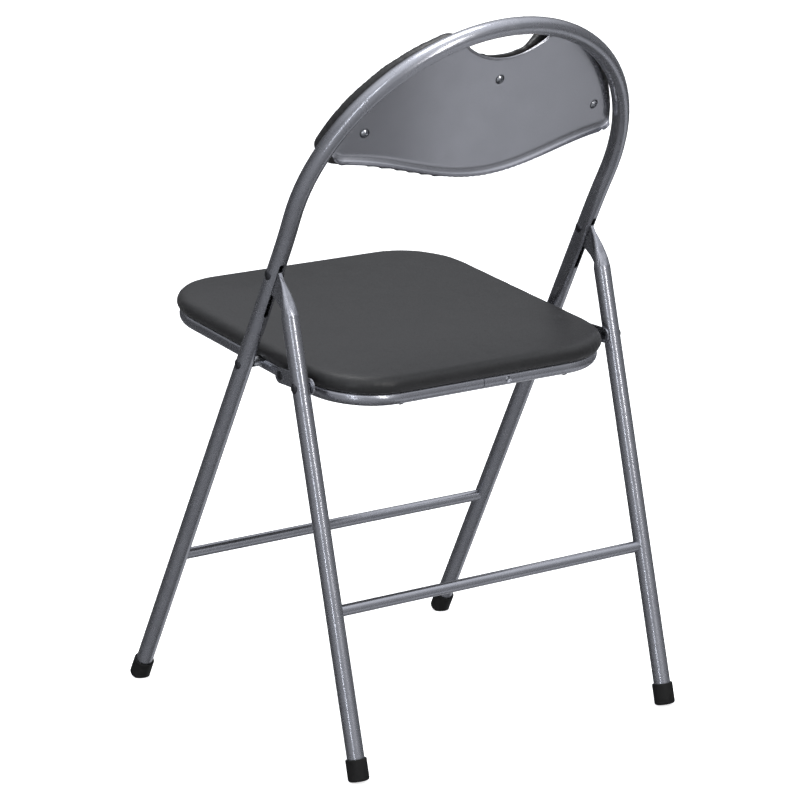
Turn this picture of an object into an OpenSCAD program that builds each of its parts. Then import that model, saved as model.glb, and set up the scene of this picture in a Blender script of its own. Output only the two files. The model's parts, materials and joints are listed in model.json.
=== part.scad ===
// Folding chair: a bent tube hoop that is both front legs and back, two rear
// legs that pivot in slots in the hoop, a padded seat on a tube ring, and a
// short link on each side that makes the rear legs follow the seat.
//
// Frame: +X is the sitter's left, -Y is the front, +Z is up. The origin is on
// the floor, under the middle of the four feet.

/* [Back hoop] */
// Outer diameter of the frame tubes
tube_d = 19; // [16:0.5:22]
// Wall thickness of the frame tubes
tube_wall = 1.5; // [1:0.1:2]
// Distance of the front feet in front of the origin
front_foot_y = 217.6; // [190:0.1:240]
// Lean of the hoop from upright
hoop_lean = 28.2; // [24:0.1:32]
// Sideways splay of the hoop's legs
hoop_splay = 0.5; // [0:0.1:1]
// Radius of the arch, at the tube's centre line
arch_r = 210; // [204:0.5:215]
// Height of the arch's centre, along the hoop
arch_centre = 677; // [640:0.5:700]

/* [Rear legs] */
// Lean of the rear legs from upright
leg_lean = 14.4; // [12:0.1:17]
// Distance of each rear leg from the middle
leg_x = 209.7; // [208:0.1:211]
// Height of the leg pivot, along the hoop
leg_pivot_v = 591; // [580:0.5:600]
// Set-back of the straight part of a rear leg behind its pivot
leg_setback = 19.5; // [19.3:0.1:22]
// Length of the slot in the hoop's rear face
slot_length = 71; // [66:1:76]
// Width of the slot
slot_w = 5.2; // [4.8:0.1:6]

/* [Crossbars] */
// Diameter of both crossbars
bar_d = 12.7; // [10:0.1:14]
// Height of the front crossbar
front_bar_z = 165.4; // [120:0.2:200]
// Height of the rear crossbar
rear_bar_z = 175.7; // [130:0.2:210]

/* [Seat] */
// Height of the seat pivot, along the hoop
seat_pivot_v = 468.4; // [465:0.1:472]
// Slope of the seat, down towards the rear
seat_tilt = 6.5; // [4:0.1:8]
// Width of the cushion
seat_w = 388; // [380:1:390]
// Reach of the cushion in front of the seat pivot
seat_front = 222.5; // [215:0.5:224]
// Reach of the cushion behind the seat pivot
seat_rear = 163.5; // [158:0.5:170]
// Corner radius of the cushion
seat_corner_r = 80; // [72:1:88]
// Depth of the cushion at its edge
cushion_edge_h = 18; // [16:0.5:22]
// Rise of the cushion's crown above its edge
cushion_crown = 10; // [4:0.5:12]
// Diameter of the ring tube under the seat
ring_d = 16.5; // [15:0.5:17]
// Inset of the ring tube's centre line from the cushion's edge
ring_inset = 14; // [13.5:0.5:18]
// Thickness of the seat board
board_t = 6; // [5:0.5:8]

/* [Back rest] */
// Thickness of the back panel
panel_t = 1.5; // [1.2:0.1:2]
// Bend radius of the back panel
panel_bend_r = 910; // [800:10:1200]
// Bulge of the panel behind the hoop, at its lower edge
panel_bulge = 20; // [12:0.5:24]
// Depth of the lip turned to the rear along the panel's lower edge
lip_d = 7; // [5:0.5:9]
// Thickness of the back cushion
back_pad_t = 15.5; // [14:0.5:20]
// Radius of the back cushion's round outline
back_pad_r = 208; // [202:0.5:212]

/* [Links and rivets] */
// Distance from the seat pivot back to the link's seat rivet
link_seat_p = 52; // [50:0.5:54]
// Height of the link's seat rivet above the seat pivot
link_seat_q = 1; // [0:0.1:2]
// Thickness of a link plate
link_t = 2; // [1.5:0.1:2.2]
// Width of a link plate
link_w = 17; // [15:0.5:19]
// Radius of the rivet shanks
rivet_r = 3; // [2.5:0.1:3.2]
// Radius of the rivet heads
rivet_head_r = 5.5; // [5:0.1:6]

/* [Feet] */
// Outer diameter of the foot caps
cap_d = 23.2; // [22:0.2:26]
// Length of the foot caps
cap_h = 24; // [20:0.5:28]

/* [Hidden] */

$fn = 64;
tube_r = tube_d / 2;
bore_r = tube_r - tube_wall;
ring_r = ring_d / 2;
ring_wall = 1.5;
ring_q = -3.6;               // ring centre line below the seat pivot
joint_angle = 0.003;         // half the hairline at the top of the arch, degrees
hair = 0.01;                 // hairline between a straight leg and its bend
running = 0.05;              // radial play of a rivet in a part that turns on it
head_h = 2.4;                // height of a rivet head
head_sink = 0.8;             // depth of the flat under a rivet head
paint = [0.47, 0.49, 0.53];
vinyl = [0.10, 0.10, 0.11];
bright = [0.78, 0.79, 0.80];
rubber = [0.06, 0.06, 0.06];
ply = [0.72, 0.58, 0.40];

cut_in = 150;                // a cut along X through one side starts here
cut_out = 240;               // and stops here
ahead = -60;                 // reach of a shape that runs past everything in front
behind = 40;                 // of the hoop's plane, or behind it

// The arch runs on below its centre, and a slack bend joins it to a straight leg
arch_wrap = 3;
waist_r = 900;
waist_turn = arch_wrap + hoop_splay;
waist_dx = waist_r * (1 - cos(waist_turn));
waist_dv = waist_r * sin(waist_turn);
leg_top_x = (arch_r + waist_dx) * cos(arch_wrap) - waist_dv * sin(arch_wrap);
leg_top_v = arch_centre - (arch_r + waist_dx) * sin(arch_wrap) - waist_dv * cos(arch_wrap);

// Half-width of the hoop's centre line at a distance v along its leg
function hoop_x(v) = leg_top_x + (leg_top_v - v) * tan(hoop_splay);

// Seat outline
seat_half = seat_w / 2;
ring_half = seat_half - ring_inset;
ring_front = seat_front - ring_inset;
ring_rear = seat_rear - ring_inset;
ring_corner_r = seat_corner_r - ring_inset;
ring_top = ring_q + ring_r;
cushion_low = 2.6;           // underside of the cushion's edge
board_half = ring_half + 5;

// Four-bar linkage, in the plane of the hoop: s runs down the hoop from the
// leg pivot and t points to the rear
fold_seat = 90 + hoop_lean - seat_tilt;
fold_legs = hoop_lean + leg_lean;
seat_s = leg_pivot_v - seat_pivot_v;
link_near = [seat_s + link_seat_p * cos(fold_seat) - link_seat_q * sin(fold_seat),
             link_seat_p * sin(fold_seat) + link_seat_q * cos(fold_seat)];
leg_dir = [cos(fold_legs), sin(fold_legs)];
leg_side = [-sin(fold_legs), cos(fold_legs)];
crank = link_near - leg_setback * leg_side;
folded_s = seat_s + link_seat_p;
// Distance down the leg at which the link is as long folded as it is open
link_leg_d = (crank * crank - folded_s * folded_s - pow(link_seat_q - leg_setback, 2))
    / (2 * (crank * leg_dir - folded_s));
link_far = link_leg_d * leg_dir + leg_setback * leg_side;
link_l = norm(link_far - link_near);
link_vec = link_far - link_near;

// Places across the chair
leg_in_x = leg_x - tube_r;
washer_t = 0.9;
washer_r = 6.8;
flare_low = 46;              // where a rear leg becomes a round tube
web_t = 4;
tip_r = 6.7;
crush_steps = 7;
crush_front = [1.9, leg_setback - tube_r + 0.3];
// Height, width, set-back of the rear face and radius of its corners
crush_slices = [[-3, 3.8, 13.2, 1.6], [-10, 5.4, 17, 2], [-17, 8.2, 19.8, 2.6],
                [-24, 11.6, 22.2, 3.4], [-31, 14.6, 24, 4.6], [-38, 17, 26.5, 6.6],
                [-flare_low - 0.3, tube_d - 0.2, leg_setback + tube_r - 0.1, tube_r - 0.2]];
cap_floor = 7;               // a tube's end above the point where its axis lands
link_out_x = leg_in_x - washer_t;
link_in_x = link_out_x - link_t;
boss_out_x = link_in_x - 1.5;
open_gap = 0.5;              // play between a link rivet's end and its boss
boss_r = 6;
boss_in_x = ring_half + 5.2;
low_head_h = 1.3;            // height of the rivet heads on the link plates
small_head_r = 4.2;          // seat pivot rivet's head inside the ring
rear_bar_d = (leg_pivot_v * cos(hoop_lean) + leg_setback * sin(leg_lean)
    - rear_bar_z) / cos(leg_lean);
foot_d = (leg_pivot_v * cos(hoop_lean) + leg_setback * sin(leg_lean)) / cos(leg_lean);

// Back rest
panel_low_mid = 713.2;       // panel's lower edge at the middle, along the hoop
panel_low_end = 736.5;       // and at its ends
wing_u = 165;                // where the lower edge levels out
edge_steps = 19;             // straight pieces in each half of a lower edge
lip_half = 170;              // half-width of the panel's lip
// Outlines: radius and height of the arc, reach to each side, radius of the lower
// corners, distance below the panel's edge, radius and lowest point of the hand-hold
panel_shape = [195.5, 683, 180, 12, 0, 86, 848.5];
board_shape = [186, 677, 174, 10, -5, 86, 838.5];
pad_shape = [back_pad_r, 677.7, 197, 28, 14, 84, 838];
pad_core_shape = [194, 679, 182, 16, -2, 86, 848];
lobe = [171.5, 751.8];       // middle of the round lobe at each lower corner of
lobe_r = 15.3;               // the panel, which meets the hoop
panel_slope = atan(0.124);   // the bulge fades towards the top
back_board_t = 6;
back_screws_at = [[151.5, 768.4], [-151.5, 768.4], [0, 823.5]];
back_screw_l = 14;
screw_r = 1.9;

// ---------------------------------------------------------------- frames
module hoop_frame() {
    translate([0, -front_foot_y, 0]) rotate([-hoop_lean, 0, 0]) children();
}

module leg_frame() {
    hoop_frame() translate([0, 0, leg_pivot_v]) rotate([fold_legs, 0, 0]) children();
}

module seat_plane() {
    hoop_frame() translate([0, 0, seat_pivot_v]) rotate([hoop_lean - seat_tilt, 0, 0])
        children();
}

// A cylinder along X from x0 to x1
module rod_x(r, x0, x1, y = 0, z = 0) {
    translate([x0, y, z]) rotate([0, 90, 0]) cylinder(r = r, h = x1 - x0);
}

module side(s) {
    if (s > 0) children();
    else mirror([1, 0, 0]) children();
}

// ---------------------------------------------------------------- hoop
// An arc of tube in the XZ plane, from the X axis up. A bore above 0 makes it
// hollow.
module tube_arc(radius, angle, r, bore) {
    rotate([90, 0, 0]) rotate_extrude(angle = angle, $fn = 96) translate([radius, 0])
        difference() {
            circle(r = r, $fn = 48);
            if (bore > 0) circle(r = bore, $fn = 48);
        }
}

// One half of the hoop, drawn from the end of its arch: a straight leg that
// stops a distance low above the floor line, the slack bend, and the arch. The
// leg stops a hair below the bend, and a ring within the wall joins the two.
module half_hoop(r, low, bore = 0) {
    leg = (leg_top_v - low) / cos(hoop_splay);
    translate([arch_r * cos(arch_wrap), 0, arch_centre - arch_r * sin(arch_wrap)])
        rotate([0, arch_wrap, 0]) {
            translate([waist_dx, 0, -waist_dv]) rotate([0, -waist_turn, 0]) {
                translate([0, 0, -leg]) difference() {
                    cylinder(r = r, h = leg - hair);
                    if (bore > 0) translate([0, 0, -1]) cylinder(r = bore, h = leg + 2);
                }
                if (bore > 0) translate([0, 0, -3]) difference() {
                    cylinder(r = r - 0.3, h = 6);
                    translate([0, 0, -1]) cylinder(r = bore + 0.3, h = 8);
                }
            }
            translate([waist_r, 0, 0]) rotate([0, 180, 0])
                tube_arc(waist_r, waist_turn, r, bore);
            translate([-arch_r, 0, 0])
                tube_arc(arch_r, 90 + arch_wrap - joint_angle, r, bore);
        }
}

module hoop_solid(r, low) {
    for (s = [1, -1]) side(s) half_hoop(r, low);
}

// The two halves stop a hair apart at the top, and a ring within the wall
// makes them one piece
module hoop_tube() {
    for (s = [1, -1]) side(s) half_hoop(tube_r, cap_floor, bore_r);
    translate([0, 0, arch_centre + arch_r]) difference() {
        rod_x(tube_r - 0.3, -3, 3);
        rod_x(bore_r + 0.3, -4, 4);
    }
}

module slot_cut() {
    half = slot_length / 2 - slot_w / 2;
    slot_v = leg_pivot_v - 16.5;
    translate([leg_x, 0, slot_v]) rotate([-90, 0, 0]) {
        translate([-slot_w / 2, -half, 0]) cube([slot_w, 2 * half, tube_d]);
        for (z = [-half, half]) translate([0, z, 0]) cylinder(r = slot_w / 2, h = tube_d);
    }
}

module rivet_seat(v) {
    rod_x(rivet_r, cut_in, cut_out, 0, v);
    rod_x(rivet_head_r, hoop_x(v) + tube_r - head_sink, cut_out, 0, v);
}

module back_hoop() {
    color(paint) hoop_frame() difference() {
        hoop_tube();
        for (s = [1, -1]) side(s) {
            slot_cut();
            rivet_seat(leg_pivot_v);
            rod_x(rivet_head_r, cut_in, hoop_x(leg_pivot_v) - tube_r + head_sink, 0, leg_pivot_v);
            rivet_seat(seat_pivot_v);
            rod_x(rivet_head_r + 2.5, cut_in, hoop_x(seat_pivot_v) - tube_r + head_sink / 2,
                  0, seat_pivot_v);
        }
    }
}

module front_crossbar() {
    bar_v = front_bar_z / cos(hoop_lean);
    color(paint) hoop_frame() difference() {
        rod_x(bar_d / 2, -hoop_x(bar_v), hoop_x(bar_v), 0, bar_v);
        rod_x(bar_d / 2 - 1.2, -hoop_x(bar_v), hoop_x(bar_v), 0, bar_v);
        hoop_solid(tube_r, 0);
    }
}

// ---------------------------------------------------------------- back rest
// Lower edge of the panel: low in the middle, level at the wings
function panel_edge(u) = panel_low_mid + (panel_low_end - panel_low_mid)
    * (1 - cos(180 * min(abs(u) / wing_u, 1))) / 2;

// Rise of a rounded lower corner of radius rc that ends at the given reach
function corner_rise(u, reach, rc) =
    let(d = max(abs(u) - reach + rc, 0)) rc - sqrt(rc * rc - min(d * d, rc * rc));

module back_outline(shape) {
    reach = shape[2];
    difference() {
        intersection() {
            translate([0, shape[1]]) circle(r = shape[0], $fn = 128);
            polygon(concat(
                [for (i = [-edge_steps : edge_steps]) let(u = i * reach / edge_steps)
                    [u, panel_edge(u) + corner_rise(u, reach, shape[3]) - shape[4]]],
                [[reach, 1000], [-reach, 1000]]));
        }
        translate([0, shape[6] + shape[5]]) circle(r = shape[5], $fn = 96);
    }
}

// A shape in the plane of the hoop, drawn out from y0 to y1
module back_prism(y0, y1) {
    translate([0, y1, 0]) rotate([90, 0, 0]) linear_extrude(y1 - y0) children();
}

// Everything in front of the panel's rear face, less a depth
module bend(depth) {
    translate([0, panel_bulge, panel_low_mid]) rotate([panel_slope, 0, 0])
        translate([0, -panel_bend_r, -400])
            cylinder(r = panel_bend_r - depth, h = 900, $fn = 256);
}

// At each back screw, square to the panel's rear face, with Z out of it
module at_back_screws() {
    translate([0, panel_bulge, panel_low_mid]) rotate([panel_slope, 0, 0])
        for (p = back_screws_at)
            translate([0, -panel_bend_r, p[1] - panel_low_mid])
                rotate([0, 0, -asin(p[0] / panel_bend_r)]) translate([0, panel_bend_r, 0])
                    rotate([-90, 0, 0]) children();
}

// Screw holes of radius r, as deep as asked from the panel's rear face
module back_screw_holes(r, depth) {
    at_back_screws() translate([0, 0, -depth]) cylinder(r = r, h = depth + 1);
}

// Strip turned to the rear along the panel's lower edge
module panel_lip() {
    us = [for (i = [-edge_steps : edge_steps]) i * lip_half / edge_steps];
    difference() {
        intersection() {
            back_prism(ahead, behind) polygon(concat(
                [for (u = us) [u, panel_edge(u) + 0.1]],
                [for (u = us) [-u, panel_edge(u) + 0.1 + panel_t]]));
            bend(-lip_d);
        }
        bend(panel_t / 2);
    }
}

module back_panel() {
    color(paint) hoop_frame() difference() {
        union() {
            difference() {
                intersection() {
                    back_prism(ahead, behind) {
                        back_outline(panel_shape);
                        for (s = [1, -1]) translate([s * lobe[0], lobe[1]])
                            circle(r = lobe_r, $fn = 48);
                    }
                    bend(0);
                }
                bend(panel_t);
            }
            panel_lip();
        }
        hoop_solid(tube_r, 0);
        back_screw_holes(screw_r, 20);
    }
}

module back_board() {
    color(ply) hoop_frame() difference() {
        intersection() {
            back_prism(ahead, behind) back_outline(board_shape);
            bend(panel_t);
        }
        bend(panel_t + back_board_t);
        back_screw_holes(screw_r, 20);
    }
}

module back_cushion() {
    rear = -tube_r - 0.3;
    color(vinyl) hoop_frame() difference() {
        intersection() {
            union() {
                back_prism(ahead, rear) back_outline(pad_shape);
                back_prism(rear - 0.1, behind) back_outline(pad_core_shape);
            }
            bend(panel_t + back_board_t);
        }
        bend(panel_t + back_board_t + back_pad_t);
        back_screw_holes(screw_r + 0.5, back_screw_l + 2);
    }
}

module dome(r, h) {
    big = (r * r + h * h) / (2 * h);
    intersection() {
        translate([0, 0, h - big]) sphere(r = big);
        cylinder(r = r, h = h);
    }
}

module back_screws() {
    color(bright) hoop_frame() at_back_screws() {
        dome(4.6, 2.4);
        translate([0, 0, -back_screw_l]) cylinder(r = screw_r, h = back_screw_l + 0.1);
    }
}

// ---------------------------------------------------------------- rivets
// A rivet along X with a domed head at its outer end and another inside
module rivet(x0, x1, in_r = rivet_head_r, in_h = head_h) {
    rod_x(rivet_r, x0, x1);
    translate([x1, 0, 0]) rotate([0, 90, 0]) dome(rivet_head_r, head_h);
    translate([x0, 0, 0]) rotate([0, -90, 0]) dome(in_r, in_h);
}

module leg_pivot_rivet(s) {
    x = hoop_x(leg_pivot_v);
    color(bright) hoop_frame() side(s) translate([0, 0, leg_pivot_v])
        rivet(x - tube_r + head_sink, x + tube_r - head_sink);
}

module seat_pivot_rivet(s) {
    x = hoop_x(seat_pivot_v);
    color(bright) hoop_frame() side(s) translate([0, 0, seat_pivot_v])
        rivet(ring_half - ring_r - 0.8, x + tube_r - head_sink, small_head_r);
}

// ---------------------------------------------------------------- seat
// Rounded rectangle that reaches front and rear of the seat pivot
module seat_outline(half, front, rear, r) {
    translate([-half + r, -front]) square([2 * (half - r), front + rear]);
    translate([-half, -front + r]) square([2 * half, front + rear - 2 * r]);
    for (x = [-half + r, half - r], y = [-front + r, rear - r])
        translate([x, y]) circle(r = r, $fn = 96);
}

// Tube bent into the ring's shape, at the ring's own height
module ring_tube(r) {
    cx = ring_half - ring_corner_r;
    y0 = -ring_front + ring_corner_r;
    y1 = ring_rear - ring_corner_r;
    translate([0, 0, ring_q]) {
        for (s = [1, -1]) {
            translate([s * ring_half, y0, 0]) rotate([-90, 0, 0]) cylinder(r = r, h = y1 - y0);
            translate([s * cx, y1, 0]) rotate([0, 0, s > 0 ? 0 : 90])
                rotate_extrude(angle = 90, $fn = 96) translate([ring_corner_r, 0])
                    circle(r = r, $fn = 48);
            translate([s * cx, y0, 0]) rotate([0, 0, s > 0 ? -90 : 180])
                rotate_extrude(angle = 90, $fn = 96) translate([ring_corner_r, 0])
                    circle(r = r, $fn = 48);
        }
        for (y = [-ring_front, ring_rear]) rod_x(r, -cx, cx, y, 0);
    }
}

joint_x = 5;                 // where the ring tube's two ends meet
joint_gap = 1;
joint_rivet_x = -28;
seat_screws_x = 110;
seat_screw_l = ring_d + board_t;
seat_screw_head_r = 4.4;

// At the flat under each seat screw's head, with Z up through the ring
module at_seat_screws() {
    for (x = [-seat_screws_x, seat_screws_x], y = [-ring_front, ring_rear])
        translate([x, y, ring_q - ring_r + head_sink]) children();
}

module joint_dimple(extra) {
    translate([joint_rivet_x, ring_rear + ring_r - 2.4, ring_q]) rotate([-90, 0, 0])
        cylinder(r1 = 2.2 + extra, r2 = 5.4 + extra, h = 3);
}

module seat_ring() {
    color(paint) seat_plane() difference() {
        ring_tube(ring_r);
        ring_tube(ring_r - ring_wall);
        translate([joint_x - joint_gap / 2, ring_rear - 20, ring_q - 20])
            cube([joint_gap, 40, 40]);
        joint_dimple(0);
        translate([joint_rivet_x, ring_rear, ring_q]) rotate([-90, 0, 0])
            cylinder(r = 2.2, h = 12);
        for (s = [1, -1]) side(s) {
            rod_x(rivet_r + running, cut_in, cut_out);
            rod_x(small_head_r + 0.4, cut_in, ring_half - ring_r - 0.4);
            rod_x(rivet_r, ring_half, cut_out, link_seat_p, link_seat_q);
        }
        at_seat_screws() translate([0, 0, -1]) cylinder(r = screw_r + 0.2, h = 40);
        at_seat_screws() translate([0, 0, -20]) cylinder(r = seat_screw_head_r, h = 20);
    }
}

module ring_joint_sleeve() {
    color(bright) seat_plane() difference() {
        rod_x(ring_r - ring_wall, joint_rivet_x - 14, joint_x + 30, ring_rear, ring_q);
        rod_x(ring_r - ring_wall - 1.2, joint_rivet_x - 15, joint_x + 31, ring_rear, ring_q);
        translate([joint_rivet_x, ring_rear, ring_q]) rotate([-90, 0, 0])
            cylinder(r = 2.2, h = 12);
        joint_dimple(0);
    }
}

module ring_joint_rivet() {
    color([0.15, 0.15, 0.16]) seat_plane()
        translate([joint_rivet_x, ring_rear, ring_q]) rotate([-90, 0, 0]) {
            translate([0, 0, 1]) cylinder(r = 2.2, h = ring_r - 3.4);
            translate([0, 0, ring_r - 2.4]) dome(2.2, 1);
        }
}

module seat_board() {
    color(ply) seat_plane() difference() {
        translate([0, 0, ring_top]) linear_extrude(board_t)
            seat_outline(board_half, ring_front + 5, ring_rear + 5, ring_corner_r + 5);
        at_seat_screws() cylinder(r = screw_r, h = 40);
    }
}

module seat_cushion() {
    top = cushion_low + cushion_edge_h;
    dome_r = (seat_half * seat_half + cushion_crown * cushion_crown) / (2 * cushion_crown);
    mid_y = (seat_rear - seat_front) / 2;
    color(vinyl) seat_plane() difference() {
        union() {
            translate([0, 0, cushion_low]) linear_extrude(cushion_edge_h)
                seat_outline(seat_half, seat_front, seat_rear, seat_corner_r);
            intersection() {
                translate([0, 0, top - 1]) linear_extrude(cushion_crown + 1)
                    seat_outline(seat_half - 6, seat_front - 6, seat_rear - 6,
                                 seat_corner_r - 6);
                translate([0, mid_y, top + cushion_crown - dome_r])
                    sphere(r = dome_r, $fn = 200);
            }
        }
        translate([0, 0, -20]) linear_extrude(20 + ring_top + board_t)
            seat_outline(board_half, ring_front + 5, ring_rear + 5, ring_corner_r + 5);
        ring_tube(ring_r);
        at_seat_screws() cylinder(r = screw_r, h = seat_screw_l);
        for (s = [1, -1]) side(s) {
            rod_x(boss_r + 0.4, boss_in_x - 0.4, cut_out);
            rod_x(boss_r + 0.4, boss_in_x - 0.4, cut_out, link_seat_p, link_seat_q);
        }
    }
}

module seat_screws() {
    color(bright) seat_plane() at_seat_screws() {
        cylinder(r = screw_r, h = seat_screw_l);
        rotate([180, 0, 0]) dome(seat_screw_head_r, 2.4);
    }
}

module seat_spacer(s) {
    x = hoop_x(seat_pivot_v);
    color(bright) seat_plane() side(s) difference() {
        rod_x(boss_r, boss_in_x, x - tube_r + 0.1);
        rod_x(rivet_r + running, cut_in, cut_out);
        ring_tube(ring_r);
    }
}

module link_boss(s) {
    color(paint) seat_plane() side(s) difference() {
        rod_x(boss_r, boss_in_x, boss_out_x, link_seat_p, link_seat_q);
        rod_x(rivet_r, cut_in, cut_out, link_seat_p, link_seat_q);
        ring_tube(ring_r);
    }
}

// ---------------------------------------------------------------- rear legs
// Flattened end of the leg: a web that turns on the leg pivot rivet inside the
// slot
module web() {
    translate([-web_t / 2, 0, 0]) rotate([90, 0, 90]) linear_extrude(web_t) union() {
        circle(r = tip_r);
        polygon([[-tip_r, 0], [-tip_r, -20.6], [0.2, -28.4], [4.6, -33.3], [7.8, -39.2],
                 [10.6, -44.5], [16, -44.5], [16, -16], [15.6, -10], [14.1, -5],
                 [12.4, 0], [tip_r * 0.8, tip_r * 0.6]]);
    }
}

// Half of the crushed tube's cross-section: from its narrow front, round the rear
// corner of radius rc, to the middle of a rear face that is yr behind the pivot
function crush_corner(w, yr, rc) =
    let(c = [w / 2 - rc, yr - rc],
        p = crush_front - c,
        start = atan2(p[1], p[0]) + acos(rc / norm(p)))
    [for (i = [0 : crush_steps]) let(a = start + (90 - start) * i / crush_steps)
        c + rc * [cos(a), sin(a)]];

function crush_ring(z, w, yr, rc) =
    let(half = concat([crush_front], crush_corner(w, yr, rc)), n = len(half))
    concat([for (p = half) [p[0], p[1], z]],
           [for (i = [1 : n]) [-half[n - i][0], half[n - i][1], z]]);

module crushed_tube() {
    rings = [for (k = crush_slices) crush_ring(k[0], k[1], k[2], k[3])];
    n = len(rings[0]);
    last = n * (len(rings) - 1);
    polyhedron(
        points = [for (r = rings) each r],
        faces = concat(
            [[for (i = [0 : n - 1]) n - 1 - i]],
            [[for (i = [0 : n - 1]) last + i]],
            [for (k = [0 : len(rings) - 2], i = [0 : n - 1])
                [k * n + i, k * n + (i + 1) % n, (k + 1) * n + (i + 1) % n]],
            [for (k = [0 : len(rings) - 2], i = [0 : n - 1])
                [k * n + i, (k + 1) * n + (i + 1) % n, (k + 1) * n + i]]));
}

module rear_leg(s) {
    color(paint) leg_frame() side(s) translate([leg_x, 0, 0]) difference() {
        union() {
            web();
            crushed_tube();
            translate([0, leg_setback, cap_floor - foot_d])
                cylinder(r = tube_r, h = foot_d - cap_floor - flare_low + 0.01);
        }
        translate([0, leg_setback, -foot_d]) cylinder(r = bore_r, h = foot_d - flare_low - 2);
        rod_x(rivet_r + running, -20, 20);
        rod_x(rivet_r, -20, 20, leg_setback, -link_leg_d);
        rod_x(rivet_head_r, tube_r - head_sink, 20, leg_setback, -link_leg_d);
        rod_x(washer_r + 0.2, -20, -tube_r + head_sink / 2, leg_setback, -link_leg_d);
    }
}

module rear_crossbar() {
    color(paint) leg_frame() translate([0, leg_setback, -rear_bar_d]) difference() {
        rod_x(bar_d / 2, -leg_x, leg_x);
        rod_x(bar_d / 2 - 1.2, -leg_x, leg_x);
        for (s = [1, -1]) translate([s * leg_x, 0, -30]) cylinder(r = tube_r, h = 60);
    }
}

// ---------------------------------------------------------------- links
module link_leg_rivet(s) {
    color(bright) leg_frame() side(s) translate([0, leg_setback, -link_leg_d])
        rivet(link_in_x, leg_x + tube_r - head_sink, rivet_head_r - 0.5, low_head_h);
}

module link_washer(s) {
    color(bright) leg_frame() side(s) difference() {
        rod_x(washer_r, link_out_x, leg_in_x + head_sink / 2, leg_setback, -link_leg_d);
        rod_x(rivet_r, cut_in, cut_out, leg_setback, -link_leg_d);
    }
}

module link_frame() {
    hoop_frame() translate([0, link_near[1], leg_pivot_v - link_near[0]])
        rotate([atan2(-link_vec[0], link_vec[1]), 0, 0]) children();
}

module link_plate(s) {
    color(paint) link_frame() side(s) difference() {
        union() {
            rod_x(link_w / 2, link_in_x, link_out_x);
            rod_x(link_w / 2, link_in_x, link_out_x, link_l);
            translate([link_in_x, 0, -link_w / 2]) cube([link_t, link_l, link_w]);
        }
        rod_x(rivet_r, cut_in, cut_out);
        rod_x(rivet_r + running, cut_in, cut_out, link_l);
    }
}

module link_seat_rivet(s) {
    color(bright) link_frame() side(s) {
        rod_x(rivet_r, boss_out_x + open_gap, link_out_x);
        translate([link_out_x, 0, 0]) rotate([0, 90, 0]) dome(rivet_head_r, low_head_h);
    }
}

// ---------------------------------------------------------------- feet
// Rubber cap on a tube's end: closed below, cut flat where it stands
module foot_cap(end) {
    rotate_extrude($fn = 64) difference() {
        union() {
            translate([0, end]) square([cap_d / 2 - 3, cap_h]);
            translate([0, end + 3]) square([cap_d / 2, cap_h - 4]);
            translate([cap_d / 2 - 3, end + 3]) circle(r = 3);
            translate([cap_d / 2 - 1, end + cap_h - 1]) circle(r = 1);
        }
        translate([-50, 0]) square([50, 100]);
        translate([0, cap_floor]) square([tube_r, 100]);
    }
}

module above_floor() {
    intersection() {
        children();
        translate([-300, -400, 0]) cube([600, 800, 100]);
    }
}

module front_foot_cap(s) {
    color(rubber) above_floor() side(s) hoop_frame()
        translate([hoop_x(0), 0, 0]) rotate([0, -hoop_splay, 0]) foot_cap(2);
}

module rear_foot_cap(s) {
    color(rubber) above_floor() side(s) leg_frame()
        translate([leg_x, leg_setback, -foot_d]) foot_cap(1);
}

back_hoop();
front_crossbar();
back_panel();
back_board();
back_cushion();
back_screws();
leg_pivot_rivet(1);  // leg_pivot_rivet_left
leg_pivot_rivet(-1);  // leg_pivot_rivet_right
seat_pivot_rivet(1);  // seat_pivot_rivet_left
seat_pivot_rivet(-1);  // seat_pivot_rivet_right
front_foot_cap(1);  // front_foot_cap_left
front_foot_cap(-1);  // front_foot_cap_right
seat_ring();
ring_joint_sleeve();
ring_joint_rivet();
seat_board();
seat_cushion();
seat_screws();
seat_spacer(1);  // seat_spacer_left
seat_spacer(-1);  // seat_spacer_right
link_boss(1);  // link_boss_left
link_boss(-1);  // link_boss_right
rear_leg(1);  // rear_leg_left
rear_leg(-1);  // rear_leg_right
rear_crossbar();
rear_foot_cap(1);  // rear_foot_cap_left
rear_foot_cap(-1);  // rear_foot_cap_right
link_leg_rivet(1);  // link_leg_rivet_left
link_leg_rivet(-1);  // link_leg_rivet_right
link_washer(1);  // link_washer_left
link_washer(-1);  // link_washer_right
link_plate(1);  // link_plate_left
link_plate(-1);  // link_plate_right
link_seat_rivet(1);  // link_seat_rivet_left
link_seat_rivet(-1);  // link_seat_rivet_right
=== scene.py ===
"""Folding chair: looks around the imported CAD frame.

Metres, row frame: +X is the sitter's left, -Y is the front, +Z is up.
"""
import json
import math

import bmesh
import bpy
from mathutils import Matrix, Vector, geometry


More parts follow.
